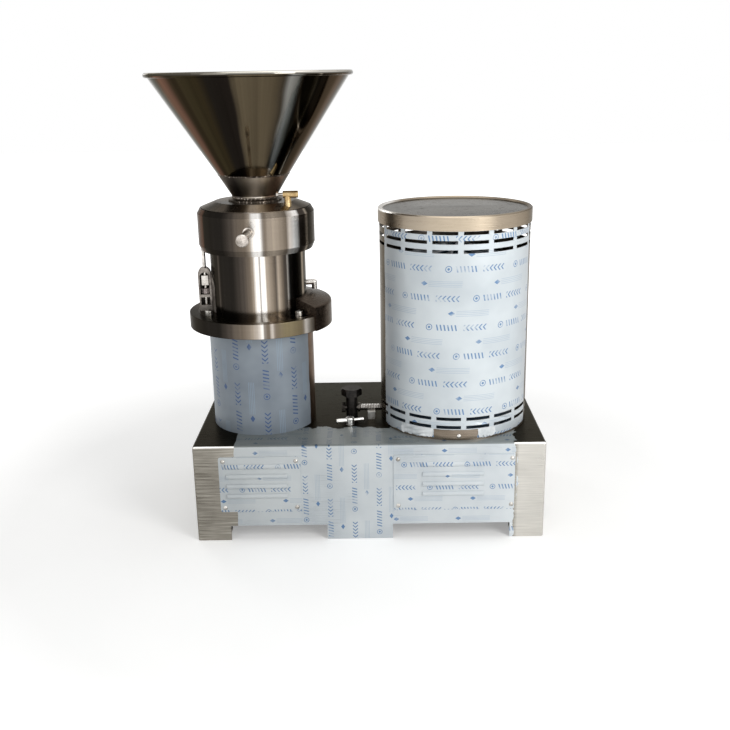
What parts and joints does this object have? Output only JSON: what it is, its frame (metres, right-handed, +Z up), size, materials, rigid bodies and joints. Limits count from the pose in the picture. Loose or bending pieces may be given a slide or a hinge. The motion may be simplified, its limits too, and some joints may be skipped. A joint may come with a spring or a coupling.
{
  "type": "nut butter machine",
  "caption": "Floor-standing colloid mill for nut butter: steel hopper and grinding head on a folded sheet base, driven by belts from an upright motor under a slotted shroud.",
  "frame": {"origin": "middle of the whole machine's footprint, at the floor", "axes": "+X to the right along the base's long side, from the mill to the motor; +Y from the louvred front to the back where the spout is; +Z up"},
  "size_m": [0.9459, 0.5682, 1.119],
  "materials": {
    "brushed_stainless": "brushed sheet, part under pale milky protective film",
    "turned_stainless": "turned, bright",
    "polished_stainless": "mirror polished",
    "hardened_steel": "ground",
    "plated_fasteners": "plated, slightly dull",
    "black_steel": "black oxide with an oily sheen",
    "grey_casting": "machined casting",
    "painted_motor": "blue-grey enamel",
    "core_steel": "varnished laminations and windings",
    "bare_iron": "turned grey iron",
    "brass": "turned, bright",
    "black_rubber": "matt",
    "black_plastic": "moulded, matt"
  },
  "bodies": {
    "frame": {"base_frame": "brushed_stainless", "foot_plates": "brushed_stainless", "deck_beams": "brushed_stainless", "left_cover_plate": "brushed_stainless", "right_cover_plate": "brushed_stainless", "cover_screws": "plated_fasteners", "cable_gland": "black_plastic", "bearing_pedestal": "brushed_stainless", "pedestal_bolts": "plated_fasteners", "bearing_housing": "turned_stainless", "bearing_outer_rings": "hardened_steel", "lower_bearing_cap": "turned_stainless", "mill_flange": "turned_stainless", "shaft_seal": "black_rubber", "mill_body": "turned_stainless", "body_bolts": "plated_fasteners", "guide_keys": "hardened_steel", "discharge_hood": "brushed_stainless", "discharge_spout": "brushed_stainless", "lock_yoke": "grey_casting", "water_inlet_elbow": "turned_stainless", "v_belts": "black_rubber", "plate_clamp_bolts": "plated_fasteners", "motor_shroud": "brushed_stainless", "shroud_cap": "brushed_stainless", "shroud_foot_ring": "brushed_stainless", "tension_post": "black_steel", "square_head_bolt": "plated_fasteners"},
    "spindle_group": {"spindle": "turned_stainless", "bearing_inner_rings": "hardened_steel", "discharge_impeller": "turned_stainless", "feed_auger": "turned_stainless", "mill_rotor": "hardened_steel", "driven_pulley": "bare_iron"},
    "carrier_group": {"stator_carrier": "turned_stainless", "carrier_o_rings": "black_rubber", "mill_stator": "hardened_steel", "feed_cover": "turned_stainless", "water_outlet_elbow": "brass", "water_outlet_plug": "turned_stainless"},
    "ring_group": {"adjusting_ring": "turned_stainless", "ring_handles": "turned_stainless", "ring_retainer": "turned_stainless", "retainer_screws": "plated_fasteners"},
    "hopper_body": {"hopper": "polished_stainless"},
    "motor_group": {"motor_plate": "painted_motor", "motor_flange_shield": "painted_motor", "motor_frame": "painted_motor", "motor_core": "core_steel", "motor_top_shield": "painted_motor", "fan_cover": "painted_motor", "terminal_box": "painted_motor"},
    "drive_group": {"motor_shaft": "turned_stainless", "motor_fan": "black_plastic", "drive_pulley": "bare_iron"},
    "tension_group": {"tension_screw": "turned_stainless"},
    "lever_group": {"clamp_lever": "turned_stainless"},
    "lock_rod_body": {"lock_rod": "turned_stainless"},
    "lock_nut_body": {"lock_nut": "black_steel"}
  },
  "joints": [
    {"name": "mill_spindle_spin", "type": "hinge", "parent": "frame", "child": "spindle_group", "pos_m": [-0.227, -0.031, 0.4], "axis": [0, 0, 1], "continuous": true},
    {"name": "motor_slide", "type": "slide", "parent": "frame", "child": "motor_group", "axis": [-1, 0, 0], "range_m": [0, 0.01]},
    {"name": "motor_rotor_spin", "type": "hinge", "parent": "motor_group", "child": "drive_group", "pos_m": [0.262, -0.031, 0.4], "axis": [0, 0, 1], "continuous": true},
    {"name": "tension_screw_turn", "type": "hinge", "parent": "frame", "child": "tension_group", "pos_m": [-0.001, -0.031, 0.2745], "axis": [1, 0, 0], "range_deg": [0, 1801]},
    {"name": "stator_lift", "type": "slide", "parent": "frame", "child": "carrier_group", "axis": [0, 0, 1], "range_m": [0, 0.00201]},
    {"name": "ring_turn", "type": "hinge", "parent": "carrier_group", "child": "ring_group", "pos_m": [-0.227, -0.031, 0.752], "axis": [0, 0, 1], "range_deg": [0, 180]},
    {"name": "hopper_lift", "type": "slide", "parent": "carrier_group", "child": "hopper_body", "axis": [0, 0, 1], "range_m": [0, 0.15]},
    {"name": "clamp_lever_turn", "type": "hinge", "parent": "frame", "child": "lever_group", "pos_m": [-0.005, -0.097, 0.26], "axis": [0, 0, 1], "range_deg": [0, 60]},
    {"name": "lock_nut_turn", "type": "hinge", "parent": "frame", "child": "lock_nut_body", "pos_m": [-0.36027, -0.04501, 0.595], "axis": [0, 0, 1], "range_deg": [0, 961]},
    {"name": "lock_rod_slide", "type": "slide", "parent": "frame", "child": "lock_rod_body", "axis": [0, 0, -1], "range_m": [0, 0.004]}
  ],
  "couplings": [
    {"joint": "mill_spindle_spin", "follows": "motor_rotor_spin", "ratio": 1},
    {"joint": "stator_lift", "follows": "ring_turn", "m_per_rad": 0.00063662},
    {"joint": "tension_screw_turn", "follows": "motor_slide", "rad_per_m": 3141.6},
    {"joint": "lock_nut_turn", "follows": "lock_rod_slide", "rad_per_m": 4188.8}
  ]
}
